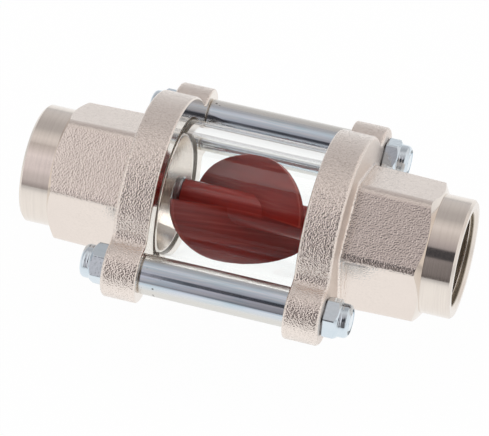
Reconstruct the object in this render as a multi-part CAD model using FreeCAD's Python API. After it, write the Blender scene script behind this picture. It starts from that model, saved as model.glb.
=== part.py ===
"""Impeller flow indicator: two eared end fittings hold a sight glass with an impeller in it.

Millimetres. X is the flow axis, Y runs through both ears, Z is up, the origin is the middle of the glass.
"""
import FreeCAD
import Part
import math
import os
from FreeCAD import Vector

# End fittings
overall_length = 123.0
nose_r = 16.65
nose_length = 8.5
nose_chamfer = 0.7
hex_flats_root = 36.0
hex_flats_tip = 35.0
hex_corner_r = 3.0
hex_turned_r = 17.1
hex_turned_angle = 30.0
flange_gap = 41.3
flange_thick = 10.0
belly_r = 27.6
ear_r = 8.4
neck_r = 3.0
rod_offset = 30.0
flange_inner_round = 0.7
flange_outer_round = 1.1
hex_root_round = 0.8

# Ports and flow way
thread_major_d = 26.44
thread_depth = 16.0
mouth_chamfer = 1.0
port_r = 11.8
throat_r = 13.0
throat_length = 5.5
bracket_bore_r = 14.4
seat_depth = 10.85
funnel_r = 16.3
funnel_angle = 16.5

# Glass and its seals
glass_r = 21.4
glass_wall = 4.0
glass_edge = 0.4
glass_side_gap = 0.45
recess_depth = 3.35
lip_drop = 0.25
lip_side_gap = 0.4
lip_chamfer = 0.2
seal_thick = 1.5
seal_side_gap = 0.2

# Tie rods
stud_d = 6.0
stud_chamfer = 0.6
stud_side_gap = 0.3
sleeve_r = 5.55
sleeve_chamfer = 0.35

# Lock nuts
nut_flats = 10.0
nut_hex_height = 4.4
nut_height = 7.2
nut_crown_r = 4.7
nut_crown_round = 1.4
nut_seat_angle = 30.0
nut_top_angle = 42.0
nut_lip = 0.5
nut_lip_r = 3.6
nut_side_gap = 0.05
insert_r = 3.95
insert_height = 1.8
nut_turns = {"left_front": 9.0, "left_rear": 18.0, "right_front": 20.0, "right_rear": 33.0}

# Impeller and what carries it
impeller_r = 15.4
blade_pitch = 40.0
blade_thick = 1.0
impeller_turn = -44.5
hub_r = 4.8
hub_half_length = 18.7
axle_d = 4.0
running_gap = 0.05
end_play = 0.3
collar_r = 5.2
collar_length = 2.0
collar_chamfer = 0.4
boss_r = 3.6
boss_cap = 2.0
spider_width = 2.5
spider_rim = 1.8
spider_arm = 2.0
spider_side_gap = 0.05
spider_arms = 3

# How far cutting bodies and edge searches reach past a face
margin = 1.0

# Lengths and radii that follow from the above
end_x = overall_length / 2
face_x = flange_gap / 2
hex_x = face_x + flange_thick
nose_x = end_x - nose_length
recess_x = face_x + recess_depth
glass_end_x = recess_x - seal_thick
recess_r = glass_r + glass_side_gap
lip_x = face_x + lip_drop
lip_r = glass_r - glass_wall - lip_side_gap
funnel_x = lip_x + (funnel_r - bracket_bore_r) / math.tan(math.radians(funnel_angle))
seat_x = face_x + seat_depth
thread_r = thread_major_d / 2
stud_r = stud_d / 2
stud_hole_r = stud_r + stud_side_gap
nut_bore_r = stud_r + nut_side_gap
axle_r = axle_d / 2
collar_x = hub_half_length + end_play
boss_x = collar_x + collar_length
axle_end_x = seat_x - boss_cap / 2
sides = {"left": 180.0, "right": 0.0}
rows = {"front": -rod_offset, "rear": rod_offset}

CENTRE = Vector(0, 0, 0)
FLOW = Vector(1, 0, 0)
UP = Vector(0, 0, 1)


def turned(points):
    """Solid turned about the flow axis from (x, r) points, with its seam underneath."""
    loop = [Vector(x, 0, -r) for x, r in points]
    return Part.Face(Part.makePolygon(loop + loop[:1])).revolve(CENTRE, FLOW, 360)


def rod(x0, x1, r):
    """Round bar on the flow axis."""
    return turned([(x0, 0), (x0, r), (x1, r), (x1, 0)])


def bevelled_tube(x0, x1, r_in, r_out, bevel):
    """Tube on the flow axis with both outer edges bevelled."""
    return turned([
        (x0, r_in), (x0, r_out - bevel), (x0 + bevel, r_out),
        (x1 - bevel, r_out), (x1, r_out - bevel), (x1, r_in),
    ])


def edges_at(shape, x, r_min, r_max):
    """Edges that lie in the plane at x with both ends between two distances from the flow axis."""
    found = []
    for edge in shape.Edges:
        box = edge.BoundBox
        if abs(box.XMin - x) < 1e-4 and abs(box.XMax - x) < 1e-4:
            reach = [math.hypot(v.Y, v.Z) for v in edge.Vertexes]
            if min(reach) > r_min and max(reach) < r_max:
                found.append(edge)
    return found


def placed(shape, side, y=0.0):
    """Copy of a right-hand piece, turned to its side and set on its row."""
    copy = shape.copy()
    copy.rotate(CENTRE, UP, sides[side])
    copy.translate(Vector(0, y, 0))
    return copy


def hex_wire(x, flats, corner):
    """Hexagon across the flow axis with rounded corners, one corner up."""
    reach = (flats / 2 - corner) / math.cos(math.pi / 6)
    arcs = []
    for k in range(6):
        up = math.radians(90 + 60 * k)
        centre = Vector(x, reach * math.cos(up), reach * math.sin(up))
        turns = [up + math.radians(t) for t in (-30, 0, 30)]
        arcs.append([centre + Vector(0, corner * math.cos(t), corner * math.sin(t)) for t in turns])
    edges = []
    for k in range(6):
        edges.append(Part.Arc(*arcs[k]).toShape())
        edges.append(Part.makeLine(arcs[k][2], arcs[(k + 1) % 6][0]))
    return Part.Wire(edges)


def flange_wire(x):
    """Round belly with two round ears, blended by a hollow neck on each side."""
    y = ((belly_r + neck_r) ** 2 - (ear_r + neck_r) ** 2 + rod_offset ** 2) / (2 * rod_offset)
    neck = Vector(0, y, math.sqrt((belly_r + neck_r) ** 2 - y ** 2))
    ear = Vector(0, rod_offset, 0)
    on_belly = neck * (belly_r / (belly_r + neck_r))
    on_ear = ear + (neck - ear) * (ear_r / (ear_r + neck_r))
    inward = (on_belly - neck) + (on_ear - neck)
    middle = neck + inward.normalize() * neck_r

    def at(p, sy, sz):
        return Vector(x, p.y * sy, p.z * sz)

    edges = []
    for sy in (1, -1):
        tip = Vector(x, sy * (rod_offset + ear_r), 0)
        edges.append(Part.Arc(at(on_ear, sy, -1), tip, at(on_ear, sy, 1)).toShape())
    for sz in (1, -1):
        crest = Vector(x, 0, sz * belly_r)
        edges.append(Part.Arc(at(on_belly, 1, sz), crest, at(on_belly, -1, sz)).toShape())
        for sy in (1, -1):
            edges.append(Part.Arc(at(on_ear, sy, sz), at(middle, sy, sz), at(on_belly, sy, sz)).toShape())
    return Part.Wire(Part.__sortEdges__(edges))


def flow_way():
    """Everything bored out of a fitting: glass recess, funnel, bracket bore, throat, port and thread."""
    return turned([
        (face_x - margin, 0), (face_x - margin, recess_r), (recess_x, recess_r),
        (recess_x, lip_r), (lip_x + lip_chamfer, lip_r), (lip_x, lip_r - lip_chamfer),
        (lip_x, funnel_r), (funnel_x, bracket_bore_r), (seat_x, bracket_bore_r),
        (seat_x, throat_r), (seat_x + throat_length, port_r), (end_x - thread_depth, port_r),
        (end_x - thread_depth, thread_r), (end_x - mouth_chamfer, thread_r),
        (end_x, thread_r + mouth_chamfer), (end_x + margin, thread_r + mouth_chamfer), (end_x + margin, 0),
    ])


def end_fitting():
    """One forging: eared flange, drafted hexagon and turned nose, bored through."""
    flange = Part.Face(flange_wire(face_x)).extrude(FLOW * flange_thick)
    ear_reach = rod_offset + ear_r + margin
    flange = flange.makeFillet(flange_outer_round, edges_at(flange, hex_x, belly_r - margin, ear_reach))
    flange = flange.makeFillet(flange_inner_round, edges_at(flange, face_x, belly_r - margin, ear_reach))
    slope = math.tan(math.radians(hex_turned_angle))
    turning = turned([
        (hex_x, 0), (hex_x, belly_r), (nose_x - (belly_r - hex_turned_r) * slope, belly_r),
        (nose_x, hex_turned_r), (nose_x, 0),
    ])
    hexagon = Part.makeLoft([hex_wire(hex_x, hex_flats_root, hex_corner_r),
                             hex_wire(nose_x, hex_flats_tip, hex_corner_r)], True, True)
    nose = turned([
        (nose_x, 0), (nose_x, nose_r), (end_x - nose_chamfer, nose_r),
        (end_x, nose_r - nose_chamfer), (end_x, 0),
    ])
    body = flange.fuse([hexagon.common(turning), nose]).removeSplitter()
    hex_reach = belly_r - flange_outer_round - margin
    body = body.makeFillet(hex_root_round, edges_at(body, hex_x, nose_r, hex_reach))
    body = body.cut(flow_way())
    for y in rows.values():
        hole = rod(face_x - margin, hex_x + margin, stud_hole_r)
        hole.translate(Vector(0, y, 0))
        body = body.cut(hole)
    return body


def sight_glass():
    """Clear tube with ground ends."""
    return bevelled_tube(-glass_end_x, glass_end_x, glass_r - glass_wall, glass_r, glass_edge)


def glass_seal():
    """Flat ring round the lip, between the end of the glass and the floor of the recess."""
    disc = rod(glass_end_x, recess_x, recess_r - seal_side_gap)
    return disc.cut(rod(glass_end_x, recess_x, lip_r + seal_side_gap))


def sleeve():
    """Plated spacer tube that keeps the flanges apart."""
    return bevelled_tube(-face_x, face_x, stud_hole_r, sleeve_r, sleeve_chamfer)


def stud():
    """Threaded bar through both flanges, level with the crowns of its nuts."""
    end = hex_x + nut_height
    return turned([
        (-end, 0), (-end, stud_r - stud_chamfer), (stud_chamfer - end, stud_r),
        (end - stud_chamfer, stud_r), (end, stud_r - stud_chamfer), (end, 0),
    ])


def lock_nut(turn):
    """Hexagon nut with a rounded crown that holds the locking ring."""
    corner = nut_flats / math.sqrt(3)
    turns = [math.radians(60 * k) for k in range(6)]
    loop = [Vector(hex_x, corner * math.cos(t), corner * math.sin(t)) for t in turns]
    prism = Part.Face(Part.makePolygon(loop + loop[:1])).extrude(FLOW * nut_hex_height)
    seat_rise = (corner - nut_flats / 2) * math.tan(math.radians(nut_seat_angle))
    top_drop = (corner - nut_crown_r) * math.tan(math.radians(nut_top_angle))
    hex_end = hex_x + nut_hex_height
    prism = prism.common(turned([
        (hex_x, 0), (hex_x, nut_flats / 2), (hex_x + seat_rise, corner), (hex_end - top_drop, corner),
        (hex_end, nut_crown_r), (hex_end, 0),
    ]))
    crown = rod(hex_end - top_drop, hex_x + nut_height, nut_crown_r)
    crown = crown.makeFillet(nut_crown_round, edges_at(crown, hex_x + nut_height, 0, nut_crown_r + margin))
    nut = prism.fuse(crown).removeSplitter()
    pocket_end = hex_x + nut_height - nut_lip
    nut = nut.cut(rod(hex_x - margin, hex_x + nut_height + margin, nut_bore_r))
    nut = nut.cut(rod(pocket_end - insert_height, pocket_end, insert_r))
    nut = nut.cut(rod(pocket_end - insert_height, hex_x + nut_height + margin, nut_lip_r))
    nut.rotate(CENTRE, FLOW, turn)
    return nut


def nut_insert():
    """Soft locking ring inside a nut's crown."""
    end = hex_x + nut_height - nut_lip
    return rod(end - insert_height, end, insert_r).cut(rod(end - insert_height, end, nut_bore_r))


def blade():
    """Half-oval plate that leans across the flow, so that its rim sweeps a round."""
    reach = impeller_r / math.sin(math.radians(blade_pitch))
    rim = Part.ArcOfEllipse(Part.Ellipse(CENTRE, reach, impeller_r), 0, math.pi).toShape()
    chord = Part.makeLine(Vector(-reach, 0, 0), Vector(reach, 0, 0))
    plate = Part.Face(Part.Wire([rim, chord])).extrude(UP * blade_thick)
    plate.translate(UP * (-blade_thick / 2))
    plate.rotate(CENTRE, FLOW, 90)
    plate.rotate(CENTRE, UP, -blade_pitch)
    return plate


def impeller():
    """One moulding: hub tube with two half-oval blades leaning opposite ways."""
    upper = blade()
    lower = blade()
    lower.rotate(CENTRE, FLOW, 180)
    wheel = rod(-hub_half_length, hub_half_length, hub_r).fuse([upper, lower]).removeSplitter()
    wheel = wheel.cut(rod(-hub_half_length - margin, hub_half_length + margin, axle_r + running_gap))
    wheel.rotate(CENTRE, FLOW, impeller_turn)
    return wheel


def axle():
    """Polished pin the impeller runs on."""
    return rod(-axle_end_x, axle_end_x, axle_r)


def thrust_collar():
    """Metal collar on the axle beside the hub."""
    return bevelled_tube(collar_x, boss_x, axle_r + running_gap, collar_r, collar_chamfer)


def spider():
    """Bearing bracket pressed into its bore: rim, arms and a blind boss for the axle."""
    start = seat_x - spider_width
    rim_r = bracket_bore_r - spider_side_gap
    rim = rod(start, seat_x, rim_r).cut(rod(start, seat_x, rim_r - spider_rim))
    boss = turned([
        (boss_x, 0), (boss_x, boss_r), (seat_x, boss_r),
        (seat_x + boss_cap, boss_r / 2), (seat_x + boss_cap, 0),
    ])
    arms = []
    for k in range(spider_arms):
        corner = Vector(start, -spider_arm / 2, 0)
        arm = Part.makeBox(spider_width, spider_arm, rim_r - spider_rim / 2, corner)
        arm.rotate(CENTRE, FLOW, 360 / spider_arms * k)
        arms.append(arm)
    bracket = boss.fuse(arms + [rim]).removeSplitter()
    return bracket.cut(rod(boss_x - margin, axle_end_x, axle_r + running_gap / 2))


def build():
    """All sub-parts by node name."""
    pieces = {"sight_glass": sight_glass(), "impeller": impeller(), "axle": axle()}
    fitting = end_fitting()
    seal = glass_seal()
    collar = thrust_collar()
    bracket = spider()
    insert = nut_insert()
    for side in sides:
        pieces[side + "_fitting"] = placed(fitting, side)
        pieces[side + "_glass_seal"] = placed(seal, side)
        pieces[side + "_collar"] = placed(collar, side)
        pieces[side + "_spider"] = placed(bracket, side)
        for row, y in rows.items():
            name = side + "_" + row
            pieces[name + "_nut"] = placed(lock_nut(nut_turns[name]), side, y)
            pieces[name + "_nut_insert"] = placed(insert, side, y)
    for row, y in rows.items():
        pieces[row + "_sleeve"] = placed(sleeve(), "right", y)
        pieces[row + "_stud"] = placed(stud(), "right", y)
    return pieces


os.makedirs("parts", exist_ok=True)
for node, shape in build().items():
    shape.exportStep("parts/" + node + ".step")
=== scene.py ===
import math

import bpy
from mathutils import Matrix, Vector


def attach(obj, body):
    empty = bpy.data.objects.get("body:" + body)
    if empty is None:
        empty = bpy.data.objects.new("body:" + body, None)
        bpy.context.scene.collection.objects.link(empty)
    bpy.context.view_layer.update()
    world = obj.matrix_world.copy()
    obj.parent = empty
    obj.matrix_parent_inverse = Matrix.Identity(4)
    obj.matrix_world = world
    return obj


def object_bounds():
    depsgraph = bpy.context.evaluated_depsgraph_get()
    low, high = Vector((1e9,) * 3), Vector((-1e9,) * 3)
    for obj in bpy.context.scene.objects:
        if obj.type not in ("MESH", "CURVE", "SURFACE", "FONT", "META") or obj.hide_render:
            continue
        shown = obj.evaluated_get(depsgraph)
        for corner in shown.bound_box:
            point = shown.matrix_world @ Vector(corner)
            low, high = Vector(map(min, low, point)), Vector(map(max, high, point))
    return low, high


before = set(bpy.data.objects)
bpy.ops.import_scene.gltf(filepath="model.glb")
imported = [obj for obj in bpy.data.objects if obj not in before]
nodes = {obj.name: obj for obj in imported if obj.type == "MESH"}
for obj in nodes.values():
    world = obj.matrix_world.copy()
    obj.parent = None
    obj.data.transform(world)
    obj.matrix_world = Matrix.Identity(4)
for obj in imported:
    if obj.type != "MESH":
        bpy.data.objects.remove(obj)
cad_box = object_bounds()

# Sizes in metres. X is the flow axis and Y runs through both ears, as in the part.
MM = 0.001
END_X = 61.5 * MM
FACE_X = 20.65 * MM
ROD_Y = 30.0 * MM

# Where the finish of an end fitting changes
NOSE_X = 53.0 * MM
HEX_X = 32.0 * MM
HEX_TIP_R = 17.1 * MM
HEX_CHAMFER = 0.577
BORE_R = 17.2 * MM
FUNNEL_R = 16.5 * MM
RECESS_R = 21.95 * MM
RECESS_X = 24.1 * MM

# How far a finish reaches past an edge, and how softly it ends
REACH = 0.15 * MM
SOFT = 0.1 * MM
SHARP = 0.05 * MM

# Grain of the blasted forging: across one speckle, and from its foot to its top
GRAIN_SIZE = 0.44 * MM
GRAIN_DEPTH = 0.17 * MM

# Pits in the plating of the sleeves: across one cell, middle and half length of the pitted stretch
PIT_CELL = 2.2 * MM
PIT_X = -16.5 * MM
PIT_HALF = 3.0 * MM

# Lock nuts
NUT_CROWN_R = 4.85 * MM
NUT_FLAT_R = 5.0 * MM
NUT_CORNER = NUT_FLAT_R * math.tan(math.pi / 6)
NUT_BREAK = 0.35 * MM
# Painted shade: the nuts are painted dark from their seat out to this distance along the axis
NUT_SEAT_SHADE_X = 31.1 * MM

# Impeller
RIM_R = 15.3 * MM
BLADE_TURN = math.radians(44.5)

# Pipe thread: the ridge's root and crest are shares of the pitch and of the root
THREAD_R = 13.22 * MM
THREAD_PITCH = 1.814 * MM
THREAD_HEIGHT = 1.16 * MM
THREAD_SINK = 0.05 * MM
THREAD_ROOT = 0.92
THREAD_CREST = 0.3
THREAD_ROUND = 0.12 * MM
# Deeper than this radius, towards its roots, the thread is painted in shade
THREAD_BRIGHT_R = THREAD_R - THREAD_HEIGHT + 0.35 * MM
THREAD_START_X = 45.6 * MM
THREAD_STOP_X = 60.45 * MM
THREAD_STEPS = 72
CUT_TOLERANCE = 0.0005 * MM
JOIN_TOLERANCE = 0.001 * MM
SMOOTH_ANGLE = math.radians(40)

# Studio: the level direction of its front, and the floor under the part
STUDIO_FRONT = (0.296, -0.955, 0.0)
FLOOR_SIZE = 12
FLOOR_GAP = 0.02 * MM

# Where a Mix node has its two inputs and its output
MIX_SOCKETS = {"RGBA": (6, 7, 2), "VECTOR": (4, 5, 1)}


class Tone:
    """One value on its way through a finish. Sums written on it add Math nodes."""

    def __init__(self, finish, socket):
        self.finish = finish
        self.socket = socket

    def maths(self, operation, first, second=0.0):
        return self.finish.node("Math", {"operation": operation}, {0: first, 1: second})

    def __add__(self, other):
        return self.maths("ADD", self, other)

    def __radd__(self, other):
        return self.maths("ADD", other, self)

    def __sub__(self, other):
        return self.maths("SUBTRACT", self, other)

    def __rsub__(self, other):
        return self.maths("SUBTRACT", other, self)

    def __mul__(self, other):
        return self.maths("MULTIPLY", self, other)

    def __rmul__(self, other):
        return self.maths("MULTIPLY", other, self)

    def __truediv__(self, other):
        return self.maths("DIVIDE", self, other)

    def __rtruediv__(self, other):
        return self.maths("DIVIDE", other, self)

    def __pow__(self, other):
        return self.maths("POWER", self, other)

    def __rpow__(self, other):
        return self.maths("POWER", other, self)

    def __abs__(self):
        return self.maths("ABSOLUTE", self)

    def most(self, other):
        return self.maths("MAXIMUM", self, other)

    def past(self, edge, soft):
        """0 below the edge and 1 above it, with a soft step."""
        return self.finish.node("MapRange", {"interpolation_type": "SMOOTHSTEP"},
                                {"Value": self, "From Min": edge - soft, "From Max": edge + soft})


class Finish:
    """A material or the surroundings in the making."""

    def __init__(self, owner):
        owner.use_nodes = True
        self.owner = owner
        self.tree = owner.node_tree

    def feed(self, socket, value):
        if isinstance(value, Tone):
            self.tree.links.new(value.socket, socket)
        else:
            socket.default_value = value

    def node(self, kind, settings, sockets, output=0):
        made = self.tree.nodes.new("ShaderNode" + kind)
        for key, value in settings.items():
            if key == "stops":
                ramp = made.color_ramp.elements
                while len(ramp) < len(value):
                    ramp.new(0.5)
                for stop, (place, shade) in zip(ramp, value):
                    stop.position = place
                    stop.color = colour(*shade)
            else:
                setattr(made, key, value)
        for key, value in sockets.items():
            self.feed(made.inputs[key], value)
        return Tone(self, made.outputs[output])

    def surface(self, sockets):
        shader = self.tree.nodes["Principled BSDF"]
        for key, value in sockets.items():
            self.feed(shader.inputs[key], value)

    def point(self):
        """The place on the piece, which every pattern follows."""
        return self.node("TexCoord", {}, {}, "Object")

    def axis(self, vector, name):
        return self.node("SeparateXYZ", {}, {"Vector": vector}, name)

    def stretched(self, point, by):
        return self.node("VectorMath", {"operation": "MULTIPLY"}, {0: point, 1: by})

    def noise(self, point, size, detail):
        """Cloudy pattern whose lumps are about one size across."""
        return self.node("TexNoise", {}, {"Vector": point, "Scale": 1 / size, "Detail": detail})

    def ramp(self, value, stops):
        """Colours that follow one another as the value grows."""
        return self.node("ValToRGB", {"stops": stops}, {"Fac": value})

    def mix(self, share, first, second, kind="RGBA"):
        a, b, output = MIX_SOCKETS[kind]
        return self.node("Mix", {"data_type": kind}, {0: share, a: first, b: second}, output)

    def bump(self, height, depth):
        return self.node("Bump", {}, {"Height": height, "Distance": depth})

    def ray(self, kind):
        return self.node("LightPath", {}, {}, "Is %s Ray" % kind)


def finish(name):
    return Finish(bpy.data.materials.new(name))


def colour(r, g, b):
    return (r, g, b, 1.0)


def distance(a, b):
    """How far from the axis a point lies whose two coordinates across it are given."""
    return (a * a + b * b) ** 0.5


def nickel():
    """Nickel plate on a blasted forging with turned noses, bores, seats and flange faces."""
    f = finish("nickel_plated_brass")
    point = f.point()
    x, y, z = (f.axis(point, name) for name in "XYZ")
    along = abs(x)
    out = distance(y, z)

    nose = (along + (out - HEX_TIP_R) * HEX_CHAMFER).past(NOSE_X - REACH, SOFT)
    bore = 1 - out.past(BORE_R, SOFT)
    seat = 1 - along.past(RECESS_X, SHARP)
    recess = (1 - out.past(RECESS_R, SHARP)) * seat
    face = 1 - along.past(FACE_X + REACH, SOFT)
    turned = nose.most(bore).most(recess).most(face)
    funnel = 1 - out.past(FUNNEL_R, SHARP)
    mouth = (1 - out.past(THREAD_R + 2 * SOFT, SOFT)) * along.past(THREAD_START_X - 2 * SOFT, SOFT)
    shaded_thread_roots = mouth * out.past(THREAD_BRIGHT_R, 0.12 * MM)
    groove = (out.past(BORE_R + 2 * SOFT, SOFT) - out.past(RECESS_R + SOFT, SHARP)) * seat
    forged_hex = along.past(HEX_X, 0.5 * MM)
    facing = f.axis(f.node("TexCoord", {}, {}, "Normal"), "X")
    endways = abs(facing).past(0.88, 0.08) * (1 - turned)

    grain = f.noise(f.stretched(point, (1.0, 1.3, 1.3)), size=GRAIN_SIZE, detail=0.6)
    lumps = f.noise(point, size=4.0 * MM, detail=1.0)
    cloud = f.noise(point, size=9.0 * MM, detail=3.0)
    rings = f.noise(f.stretched(point, (1.0, 0.02, 0.02)), size=0.25 * MM, detail=2.0)
    marks = f.noise(f.stretched(point, (1.0, 0.05, 0.05)), size=0.7 * MM, detail=3.0)
    blasted = f.bump((grain + lumps * 0.5) * (1 - forged_hex * 0.5), GRAIN_DEPTH)
    lathe = f.bump(rings * (0.3 + funnel * 1.2), 0.012 * MM)

    smooth = f.mix(cloud, colour(0.80, 0.735, 0.67), colour(0.85, 0.78, 0.715))
    smooth = f.mix(marks.past(0.55, 0.12) * 0.13, smooth, colour(0.58, 0.51, 0.48))
    # Painted shade: the thread roots deep in the sockets are painted dark for the shade inside them
    smooth = f.mix(shaded_thread_roots, smooth, colour(0.42, 0.37, 0.30))
    pits = (1 - grain.past(0.40, 0.08)) * (1 - turned)
    dull = pits * (0.3 - forged_hex * 0.2) + forged_hex * 0.09
    rough = f.mix(cloud, colour(0.845, 0.765, 0.705), colour(0.895, 0.81, 0.75))
    rough = f.mix(dull, rough, colour(0.50, 0.43, 0.38))
    gloss = 0.14 - turned * 0.05 + grain * 0.04
    f.surface({
        "Base Color": f.mix(turned, rough, smooth),
        "Metallic": 1.0,
        "Roughness": gloss + (shaded_thread_roots + funnel) * 0.12 + (endways + groove) * 0.3,
        "Normal": f.mix(turned, blasted, lathe, "VECTOR"),
    })
    return f.owner


def drawn_zinc():
    """Bright zinc on the sleeves: blue seen steeply, cream at a slant, pitted near the left end."""
    f = finish("zinc_plated_sleeve")
    point = f.point()
    x = f.axis(point, "X")
    cloud = f.noise(f.stretched(point, (0.25, 1.0, 1.0)), size=2.5 * MM, detail=3.0)
    lines = f.noise(f.stretched(point, (0.04, 1.0, 1.0)), size=0.4 * MM, detail=2.0)
    waves = f.noise(f.stretched(point, (0.3, 1.0, 1.0)), size=2.0 * MM, detail=2.0)
    cells = f.node("TexVoronoi", {}, {"Vector": point, "Scale": 1 / PIT_CELL}, "Distance")
    pits = (1 - cells.past(0.14, 0.03)) * (1 - abs(x - PIT_X).past(PIT_HALF, 0.5 * MM))
    slant = f.node("LayerWeight", {}, {"Blend": 0.5}, "Facing").past(0.27, 0.17)
    plate = f.mix(cloud.past(0.5, 0.2), colour(0.55, 0.67, 0.76), colour(0.64, 0.70, 0.80))
    plate = f.mix(lines.past(0.55, 0.12) * 0.6, plate, colour(0.74, 0.77, 0.81))
    plate = f.mix(slant, plate, colour(0.76, 0.745, 0.71))
    f.surface({
        "Base Color": f.mix(pits * 0.8, plate, colour(0.12, 0.11, 0.11)),
        "Metallic": 1.0,
        "Roughness": 0.06 + cloud * 0.04 + slant * 0.25 + pits * 0.2,
        "Normal": f.bump(lines * 1.5 + waves * 3.0 - pits * 5.0, 0.0025 * MM),
    })
    return f.owner


def nut_zinc():
    """Pale blue zinc on nuts and studs: rolled crowns, broken corners, a painted shade line at the
    seat.
    """
    f = finish("zinc_plated_nut")
    point = f.point()
    x, y, z = (f.axis(point, name) for name in "XYZ")
    cloud = f.noise(point, size=2.0 * MM, detail=3.0)
    dents = f.noise(point, size=0.9 * MM, detail=1.0)
    rolled = f.noise(f.stretched(point, (1.0, 0.06, 0.06)), size=0.55 * MM, detail=1.0)
    out = distance(abs(y) - ROD_Y, z)
    crown = 1 - out.past(NUT_CROWN_R, SOFT)
    # Painted shade: a dark line round the foot of each nut, where it sits on the flange
    seat = 1 - abs(x).past(NUT_SEAT_SHADE_X, 0.12 * MM)
    sideways = (out * out - NUT_FLAT_R ** 2).most(0) ** 0.5
    corner = ((sideways - NUT_CORNER) / NUT_BREAK + 1).most(0) ** 2
    plate = f.mix(cloud, colour(0.64, 0.74, 0.80), colour(0.76, 0.82, 0.88))
    f.surface({
        "Base Color": f.mix(seat * 0.8, plate, colour(0.10, 0.10, 0.11)),
        "Metallic": 1.0,
        "Roughness": 0.06 + cloud * 0.05,
        "Normal": f.bump(dents * 0.5 + rolled * crown * 3.0 - corner * 2.0, 0.05 * MM),
    })
    return f.owner


def steel():
    """Grey turned stainless steel."""
    f = finish("stainless_steel")
    rings = f.noise(f.stretched(f.point(), (1.0, 0.05, 0.05)), size=0.2 * MM, detail=2.0)
    f.surface({
        "Base Color": f.mix(rings, colour(0.38, 0.37, 0.38), colour(0.46, 0.45, 0.46)),
        "Metallic": 1.0,
        "Roughness": 0.18 + rings * 0.08,
        "Normal": f.bump(rings, 0.006 * MM),
    })
    return f.owner


def clear_tube():
    """Clear drawn glass, ground where its ends sit in the flanges."""
    f = finish("clear_glass")
    point = f.point()
    x = f.axis(point, "X")
    waves = f.noise(f.stretched(point, (0.1, 1.0, 1.0)), size=6.0 * MM, detail=1.0)
    cords = f.noise(f.stretched(point, (0.02, 1.0, 1.0)), size=0.8 * MM, detail=2.0)
    ground = abs(x).past(FACE_X + 0.6 * MM, 0.2 * MM)
    f.surface({
        "Base Color": colour(0.985, 0.995, 0.99),
        "Roughness": ground * 0.6,
        "IOR": 1.47,
        "Specular Tint": colour(0.5, 0.5, 0.5),
        "Transmission Weight": 1.0,
        "Normal": f.bump(waves + cords * 0.25, 0.01 * MM),
    })
    frosted = f.node("BsdfDiffuse", {}, {"Color": colour(0.92, 0.87, 0.76)})
    clear = Tone(f, f.tree.nodes["Principled BSDF"].outputs[0])
    f.feed(f.tree.nodes["Material Output"].inputs["Surface"],
           f.node("MixShader", {}, {0: ground * 0.85, 1: clear, 2: frosted}))
    return f.owner


def rubber():
    """Olive grey moulded seal."""
    f = finish("black_rubber")
    bloom = f.noise(f.point(), size=1.5 * MM, detail=3.0)
    f.surface({
        "Base Color": f.mix(bloom, colour(0.30, 0.28, 0.225), colour(0.38, 0.355, 0.29)),
        "Roughness": 0.5 + bloom * 0.2,
        "Normal": f.bump(bloom, 0.02 * MM),
    })
    return f.owner


def red_moulding():
    """Dark red glossy plastic with streaks along the blades, the paler of them painted reflections,
    and a painted highlight on the rims.
    """
    f = finish("red_plastic")
    point = f.point()
    y, z = (f.axis(point, name) for name in "YZ")
    flow = f.noise(f.stretched(point, (0.25, 1.0, 1.0)), size=5.0 * MM, detail=3.0)
    fine = f.noise(point, size=0.6 * MM, detail=2.0)
    upright = f.node("Mapping", {}, {"Vector": point, "Rotation": (BLADE_TURN, 0, 0)})
    drawn = f.noise(f.stretched(upright, (0.03, 0.03, 1.0)), size=1.1 * MM, detail=2.0)
    # The paler streaks are painted reflection lines along the blades
    pale, dark = drawn.past(0.60, 0.08), 1 - drawn.past(0.42, 0.08)
    # Painted highlight: past this radius the blade rims are painted paler, for the light they catch
    painted_rim_glow = distance(y, z).past(RIM_R, SHARP)
    body = f.mix(flow, colour(0.31, 0.019, 0.012), colour(0.39, 0.027, 0.018))
    body = f.mix(dark * 0.45, body, colour(0.19, 0.010, 0.008))
    f.surface({
        "Base Color": f.mix(pale * 0.4 + painted_rim_glow * 0.5, body, colour(0.56, 0.09, 0.065)),
        "Roughness": 0.17 + flow * 0.08,
        "Specular IOR Level": 0.22,
        "Subsurface Weight": 0.12,
        "Subsurface Radius": (1.0, 0.12, 0.08),
        "Subsurface Scale": 1.2 * MM,
        "Normal": f.bump(fine + flow * 2.0, 0.008 * MM),
    })
    return f.owner


def nylon():
    """Off-white moulded locking ring."""
    f = finish("white_nylon")
    cloud = f.noise(f.point(), size=1.0 * MM, detail=3.0)
    f.surface({
        "Base Color": f.mix(cloud, colour(0.74, 0.73, 0.69), colour(0.83, 0.82, 0.79)),
        "Roughness": 0.45 + cloud * 0.1,
        "Normal": f.bump(cloud, 0.01 * MM),
    })
    return f.owner


def coat(piece, material):
    piece.data.materials.clear()
    piece.data.materials.append(material)


def cut_off(plane_x, side):
    """Takes away what lies past a plane across the flow axis, and closes the cut."""
    bpy.ops.mesh.select_all(action="SELECT")
    bpy.ops.mesh.bisect(plane_co=(plane_x, 0, 0), plane_no=(side, 0, 0), use_fill=True,
                        clear_outer=True, threshold=CUT_TOLERANCE)


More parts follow.
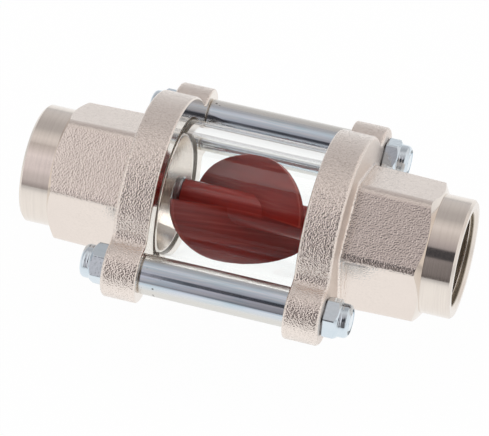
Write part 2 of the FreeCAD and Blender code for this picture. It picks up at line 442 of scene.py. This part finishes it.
def pipe_thread():
    """Ridge of the pipe thread, wound up the bore of the right socket."""
    bpy.ops.object.select_all(action="DESELECT")
    bpy.ops.mesh.primitive_plane_add(size=1, rotation=(math.pi / 2, 0, 0))
    ridge = bpy.context.object
    ridge.name = "right_thread_ridge"
    bpy.ops.object.transform_apply(location=True, rotation=True, scale=True)
    bpy.ops.object.mode_set(mode="EDIT")
    bpy.ops.mesh.select_all(action="SELECT")
    bpy.ops.transform.resize(value=(THREAD_ROOT * THREAD_PITCH, 1, THREAD_HEIGHT + THREAD_SINK))
    middle = THREAD_R - (THREAD_HEIGHT - THREAD_SINK) / 2
    bpy.ops.transform.translate(value=(THREAD_START_X - THREAD_PITCH, 0, middle))
    bpy.ops.object.mode_set(mode="OBJECT")
    for corner in ridge.data.vertices:
        corner.select = corner.co.z < THREAD_R - THREAD_HEIGHT / 2
    bpy.ops.object.mode_set(mode="EDIT")
    bpy.ops.mesh.select_mode(type="VERT")
    bpy.ops.transform.resize(value=(THREAD_CREST, 1, 1))
    bpy.ops.mesh.bevel(affect="VERTICES", offset=THREAD_ROUND, segments=2)
    bpy.ops.object.mode_set(mode="OBJECT")
    winding = ridge.modifiers.new("winding", "SCREW")
    winding.axis = "X"
    winding.screw_offset = THREAD_PITCH
    winding.iterations = math.ceil((END_X - THREAD_START_X) / THREAD_PITCH) + 2
    winding.steps = winding.render_steps = THREAD_STEPS
    bpy.ops.object.modifier_apply(modifier=winding.name)
    bpy.ops.object.mode_set(mode="EDIT")
    cut_off(THREAD_STOP_X, 1)
    cut_off(THREAD_START_X, -1)
    bpy.ops.mesh.select_all(action="SELECT")
    bpy.ops.mesh.remove_doubles(threshold=JOIN_TOLERANCE)
    bpy.ops.mesh.normals_make_consistent(inside=False)
    bpy.ops.object.mode_set(mode="OBJECT")
    bpy.ops.object.shade_smooth_by_angle(angle=SMOOTH_ANGLE)
    return ridge


def turned_copy(piece, name):
    """The same piece with its own mesh, turned end for end."""
    twin = piece.copy()
    twin.data = piece.data.copy()
    twin.name = name
    twin.data.transform(Matrix.Rotation(math.pi, 4, "Z"))
    bpy.context.scene.collection.objects.link(twin)
    return twin


def surroundings():
    """Studio round the part: pale overhead and at the sides, a panel front left, dark front right."""
    world = bpy.data.worlds.new("studio")
    bpy.context.scene.world = world
    f = Finish(world)
    way = f.node("TexCoord", {}, {}, "Generated")
    across, up = (f.axis(way, name) for name in "XZ")
    front = f.node("VectorMath", {"operation": "DOT_PRODUCT"}, {0: way, 1: STUDIO_FRONT}, "Value")
    # 0 at the level in front, 0.5 overhead, 1 at the level behind
    turn = f.node("Math", {"operation": "ARCTAN2"}, {0: up, 1: front}) / math.pi
    dark_front = f.ramp(turn, [
        (0.0, (0.07, 0.06, 0.06)), (0.05, (0.15, 0.135, 0.135)), (0.25, (0.17, 0.155, 0.155)),
        (0.34, (0.36, 0.33, 0.34)), (0.43, (0.54, 0.50, 0.50)), (0.50, (0.65, 0.61, 0.60)),
    ])
    panel_front = f.ramp(turn, [
        (0.0, (0.32, 0.295, 0.295)), (0.08, (0.585, 0.545, 0.555)), (0.16, (0.645, 0.60, 0.61)),
        (0.23, (0.80, 0.74, 0.76)), (0.37, (0.92, 0.857, 0.878)), (0.44, (0.70, 0.65, 0.65)),
        (0.50, (0.54, 0.50, 0.49)), (0.57, (0.65, 0.61, 0.60)),
    ])
    overhead = f.ramp(turn, [
        (0.50, (0.66, 0.62, 0.61)), (0.57, (0.78, 0.74, 0.73)), (0.63, (0.66, 0.63, 0.62)),
        (0.68, (0.50, 0.48, 0.48)), (0.76, (0.50, 0.48, 0.48)), (0.88, (0.62, 0.60, 0.60)),
        (1.0, (0.66, 0.65, 0.66)),
    ])
    overhead = f.mix(across.past(0.36, 0.12), overhead, colour(0.86, 0.82, 0.80))

    # The panel's right edge leans: it lies further left higher up
    low_edge = across.past(-0.205, 0.02) * 0.5 + across.past(-0.155, 0.06) * 0.5
    high_edge = across.past(-0.225, 0.03)
    edge = low_edge + (high_edge - low_edge) * turn.past(0.28, 0.06)
    ahead = f.mix(edge, panel_front, dark_front)
    # Darker low at the right, and a dark gap under the pale overhead
    low_right = across.past(-0.06, 0.06) * (1 - turn.past(0.35, 0.06))
    ahead = f.mix(low_right * 0.12, ahead, colour(0.06, 0.055, 0.055))
    gap = turn.past(0.243, 0.012) * (1 - turn.past(0.349, 0.012)) * across.past(-0.2205, 0.004)
    ahead = f.mix(gap * 0.98, ahead, colour(0.05, 0.049, 0.055))

    dome = f.mix(turn.past(0.51, 0.01), ahead, overhead)
    sides = across.past(0.55, 0.2).most(1 - across.past(-0.36, 0.07))
    dome = f.mix(sides * (1 - turn.past(0.6, 0.1)), dome, colour(0.96, 0.94, 0.93))
    below = 1 - up.past(-0.005, 0.005)
    white = f.ray("Camera").most(below)
    f.feed(f.tree.nodes["Background"].inputs["Color"], f.mix(white, dome, colour(1, 1, 1)))


def floor():
    """Pale floor that reads white and keeps a soft shadow. Seen in reflections, it has a painted pool
    of light: white near the part, grey farther off.
    """
    bpy.ops.object.select_all(action="DESELECT")
    bpy.ops.mesh.primitive_plane_add(size=FLOOR_SIZE, location=(0, 0, cad_box[0].z - FLOOR_GAP))
    ground = bpy.context.object
    ground.name = "floor"
    f = finish("pale_floor")
    point = f.point()
    x, y = (f.axis(point, name) for name in "XY")
    # Painted pool of light: in reflections the floor is white near the part and grey farther off
    near = 1 - distance(x, y).past(0.30, 0.26)
    seen, mirrored, through = (f.ray(kind) for kind in ("Camera", "Glossy", "Transmission"))
    white = f.mix(seen.most(through).most(near), colour(0.64, 0.64, 0.65), colour(1, 1, 1))
    card = f.node("BsdfDiffuse", {}, {"Color": colour(0.86, 0.86, 0.86)})
    glow = f.node("Emission", {}, {"Color": white})
    sheet = f.node("MixShader", {}, {0: seen.most(mirrored).most(through) * 0.98, 1: card, 2: glow})
    f.feed(f.tree.nodes["Material Output"].inputs["Surface"], sheet)
    coat(ground, f.owner)


def lamp(name, place, turn, size, power):
    """Rectangular soft light. Its turn is in degrees, its power in watts."""
    light = bpy.data.lights.new(name, "AREA")
    light.shape = "RECTANGLE"
    light.size, light.size_y = size
    light.energy = power
    item = bpy.data.objects.new(name, light)
    item.location = place
    item.rotation_euler = [math.radians(t) for t in turn]
    item.visible_glossy = False
    bpy.context.scene.collection.objects.link(item)


def camera(place, azimuth, elevation, roll):
    """Long lens at the viewing angle of the photograph. Its angles are in degrees."""
    lens = bpy.data.cameras.new("camera")
    lens.sensor_width = 36.0
    lens.lens = 235.6
    lens.clip_start, lens.clip_end = 0.01, 50.0
    item = bpy.data.objects.new("camera", lens)
    item.matrix_world = (
        Matrix.Translation(place)
        @ Matrix.Rotation(math.radians(azimuth), 4, "Z")
        @ Matrix.Rotation(math.pi / 2 - math.radians(elevation), 4, "X")
        @ Matrix.Rotation(math.radians(roll), 4, "Z")
    )
    bpy.context.scene.collection.objects.link(item)
    bpy.context.scene.camera = item


plated, nut_coat, bright = nickel(), nut_zinc(), steel()
finishes = {
    "fitting": plated,
    "spider": plated,
    "sight_glass": clear_tube(),
    "glass_seal": rubber(),
    "sleeve": drawn_zinc(),
    "stud": nut_coat,
    "nut": nut_coat,
    "nut_insert": nylon(),
    "impeller": red_moulding(),
    "axle": bright,
    "collar": bright,
}
for name, item in nodes.items():
    coat(item, next(made for ending, made in finishes.items() if name.endswith(ending)))

thread = pipe_thread()
for ridge in (thread, turned_copy(thread, "left_thread_ridge")):
    coat(ridge, plated)
    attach(ridge, "housing")

surroundings()
floor()
lamp("top_softbox", place=(-0.15, 0.35, 0.85), turn=(-20, -8, 0), size=(0.9, 0.5), power=3.0)
camera(place=(0.17102, -0.55513, 0.66527), azimuth=17.238, elevation=49.009, roll=-0.235)
bpy.context.scene.view_settings.view_transform = "Standard"
